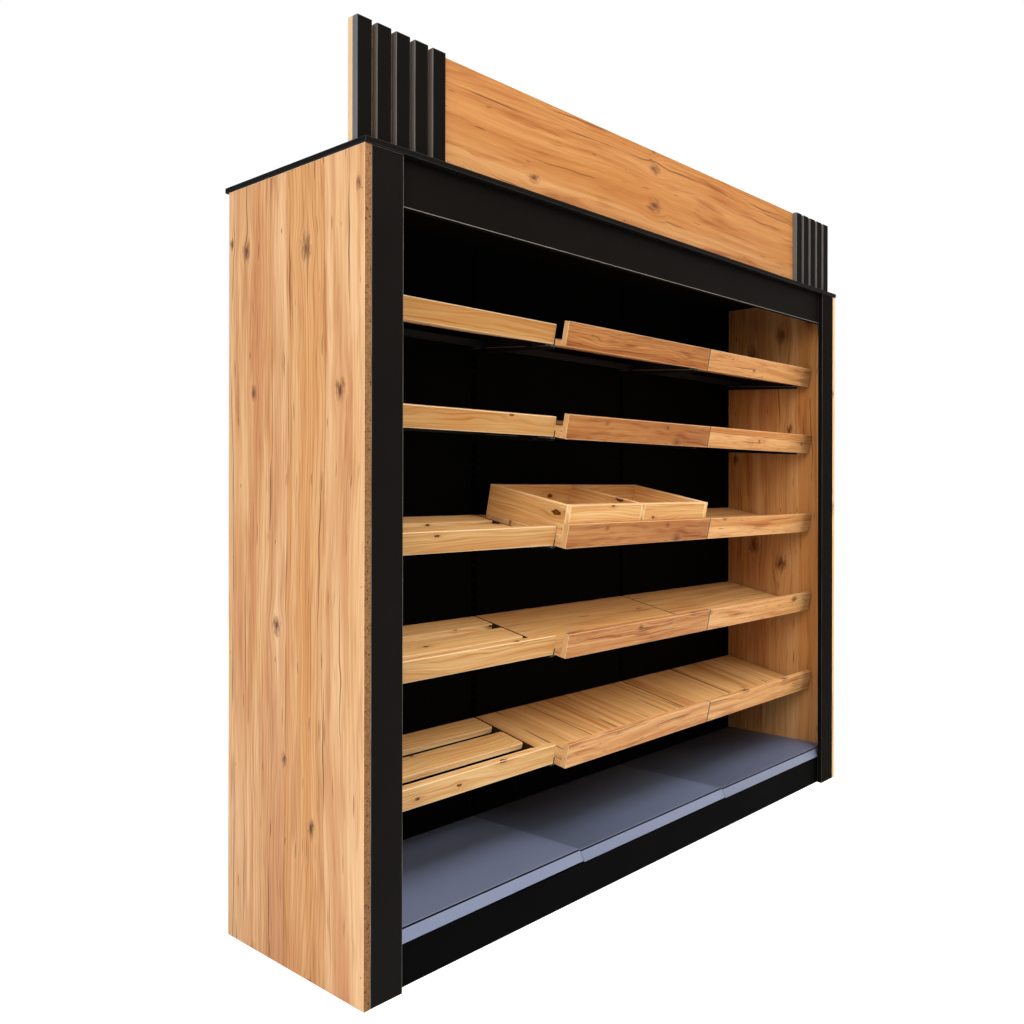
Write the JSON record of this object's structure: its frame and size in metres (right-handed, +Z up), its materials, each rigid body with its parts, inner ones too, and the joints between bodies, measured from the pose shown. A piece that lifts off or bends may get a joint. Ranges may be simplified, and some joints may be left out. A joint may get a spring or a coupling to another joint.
{
  "type": "bakery bread rack",
  "caption": "Shop wall rack for bread with sloping wood shelves on tilting hooked brackets, a loose divided crate, lift-off steel base shelves and a slatted header.",
  "frame": {"origin": "centre of the footprint on the floor, under the middle of the bounding box", "axes": "+X to the right along the front, +Y from the front to the back, +Z up"},
  "size_m": [2.4726, 0.587, 2.2706],
  "materials": {
    "oak_board": "satin oak laminate",
    "pine": "planed knotty pine",
    "black_board": "satin black laminate",
    "dark_steel": "satin powder coat",
    "grey_steel": "satin powder coat",
    "bracket_steel": "zinc plated"
  },
  "bodies": {
    "rack": {"left_side_panel": "oak_board", "right_side_panel": "oak_board", "left_post": "black_board", "right_post": "black_board", "top_panel": "black_board", "fascia": "black_board", "header_board": "oak_board", "left_header_slats": "black_board", "right_header_slats": "black_board", "upright_1": "dark_steel", "upright_2": "dark_steel", "upright_3": "dark_steel", "upright_4": "dark_steel", "base_leg_1": "dark_steel", "base_leg_2": "dark_steel", "base_leg_3": "dark_steel", "base_leg_4": "dark_steel", "plinth": "black_board", "left_back_panel": "dark_steel", "middle_back_panel": "dark_steel", "right_back_panel": "dark_steel"},
    "left_shelf_1_set": {"left_bracket_frame_1": "bracket_steel", "left_shelf_1": "pine"},
    "left_shelf_2_set": {"left_bracket_frame_2": "bracket_steel", "left_shelf_2": "pine"},
    "left_shelf_3_set": {"left_bracket_frame_3": "bracket_steel", "left_shelf_3": "pine"},
    "left_shelf_4_set": {"left_bracket_frame_4": "bracket_steel", "left_shelf_4": "pine"},
    "left_shelf_5_set": {"left_bracket_frame_5": "bracket_steel", "left_shelf_5": "pine"},
    "middle_shelf_1_set": {"middle_bracket_frame_1": "bracket_steel", "middle_shelf_1": "oak_board"},
    "middle_shelf_2_set": {"middle_bracket_frame_2": "bracket_steel", "middle_shelf_2": "oak_board"},
    "middle_shelf_3_set": {"middle_bracket_frame_3": "bracket_steel", "middle_shelf_3": "oak_board"},
    "middle_shelf_4_set": {"middle_bracket_frame_4": "bracket_steel", "middle_shelf_4": "oak_board"},
    "middle_shelf_5_set": {"middle_bracket_frame_5": "bracket_steel", "middle_shelf_5": "oak_board"},
    "right_shelf_1_set": {"right_bracket_frame_1": "bracket_steel", "right_shelf_1": "oak_board"},
    "right_shelf_2_set": {"right_bracket_frame_2": "bracket_steel", "right_shelf_2": "oak_board"},
    "right_shelf_3_set": {"right_bracket_frame_3": "bracket_steel", "right_shelf_3": "oak_board"},
    "right_shelf_4_set": {"right_bracket_frame_4": "bracket_steel", "right_shelf_4": "oak_board"},
    "right_shelf_5_set": {"right_bracket_frame_5": "bracket_steel", "right_shelf_5": "oak_board"},
    "crate": {"crate_front": "pine", "crate_back": "pine", "crate_left_side": "pine", "crate_right_side": "pine", "crate_divider": "pine", "crate_floor": "pine"},
    "left_base": {"left_base_shelf": "grey_steel"},
    "middle_base": {"middle_base_shelf": "grey_steel"},
    "right_base": {"right_base_shelf": "grey_steel"}
  },
  "joints": [
    {"name": "left_shelf_1_tilt", "type": "hinge", "parent": "rack", "child": "left_shelf_1_set", "pos_m": [-0.8, 0.1905, 1.6815], "axis": [-1, 0, 0], "range_deg": [0, 11.5]},
    {"name": "left_shelf_2_tilt", "type": "hinge", "parent": "rack", "child": "left_shelf_2_set", "pos_m": [-0.8, 0.1905, 1.4065], "axis": [-1, 0, 0], "range_deg": [0, 11.5]},
    {"name": "left_shelf_3_tilt", "type": "hinge", "parent": "rack", "child": "left_shelf_3_set", "pos_m": [-0.8, 0.1905, 1.0815], "axis": [-1, 0, 0], "range_deg": [0, 11.5]},
    {"name": "left_shelf_4_tilt", "type": "hinge", "parent": "rack", "child": "left_shelf_4_set", "pos_m": [-0.8, 0.1905, 0.7565], "axis": [-1, 0, 0], "range_deg": [0, 11.5]},
    {"name": "left_shelf_5_tilt", "type": "hinge", "parent": "rack", "child": "left_shelf_5_set", "pos_m": [-0.8, 0.1905, 0.4315], "axis": [-1, 0, 0], "range_deg": [0, 11.5]},
    {"name": "middle_shelf_1_tilt", "type": "hinge", "parent": "rack", "child": "middle_shelf_1_set", "pos_m": [0, 0.1905, 1.6815], "axis": [-1, 0, 0], "range_deg": [0, 11.5]},
    {"name": "middle_shelf_2_tilt", "type": "hinge", "parent": "rack", "child": "middle_shelf_2_set", "pos_m": [0, 0.1905, 1.4065], "axis": [-1, 0, 0], "range_deg": [0, 11.5]},
    {"name": "middle_shelf_3_tilt", "type": "hinge", "parent": "rack", "child": "middle_shelf_3_set", "pos_m": [0, 0.1905, 1.0815], "axis": [-1, 0, 0], "range_deg": [0, 11.5]},
    {"name": "middle_shelf_4_tilt", "type": "hinge", "parent": "rack", "child": "middle_shelf_4_set", "pos_m": [0, 0.1905, 0.7565], "axis": [-1, 0, 0], "range_deg": [0, 11.5]},
    {"name": "middle_shelf_5_tilt", "type": "hinge", "parent": "rack", "child": "middle_shelf_5_set", "pos_m": [0, 0.1905, 0.4315], "axis": [-1, 0, 0], "range_deg": [0, 11.5]},
    {"name": "right_shelf_1_tilt", "type": "hinge", "parent": "rack", "child": "right_shelf_1_set", "pos_m": [0.8, 0.1905, 1.6815], "axis": [-1, 0, 0], "range_deg": [0, 11.5]},
    {"name": "right_shelf_2_tilt", "type": "hinge", "parent": "rack", "child": "right_shelf_2_set", "pos_m": [0.8, 0.1905, 1.4065], "axis": [-1, 0, 0], "range_deg": [0, 11.5]},
    {"name": "right_shelf_3_tilt", "type": "hinge", "parent": "rack", "child": "right_shelf_3_set", "pos_m": [0.8, 0.1905, 1.0815], "axis": [-1, 0, 0], "range_deg": [0, 11.5]},
    {"name": "right_shelf_4_tilt", "type": "hinge", "parent": "rack", "child": "right_shelf_4_set", "pos_m": [0.8, 0.1905, 0.7565], "axis": [-1, 0, 0], "range_deg": [0, 11.5]},
    {"name": "right_shelf_5_tilt", "type": "hinge", "parent": "rack", "child": "right_shelf_5_set", "pos_m": [0.8, 0.1905, 0.4315], "axis": [-1, 0, 0], "range_deg": [0, 11.5]},
    {"name": "crate_lift", "type": "slide", "parent": "middle_shelf_3_set", "child": "crate", "axis": [0, -0.1994, 0.9799], "range_m": [0, 0.1]},
    {"name": "left_base_lift", "type": "slide", "parent": "rack", "child": "left_base", "axis": [0, 0, 1], "range_m": [0, 0.1]},
    {"name": "middle_base_lift", "type": "slide", "parent": "rack", "child": "middle_base", "axis": [0, 0, 1], "range_m": [0, 0.1]},
    {"name": "right_base_lift", "type": "slide", "parent": "rack", "child": "right_base", "axis": [0, 0, 1], "range_m": [0, 0.1]}
  ]
}
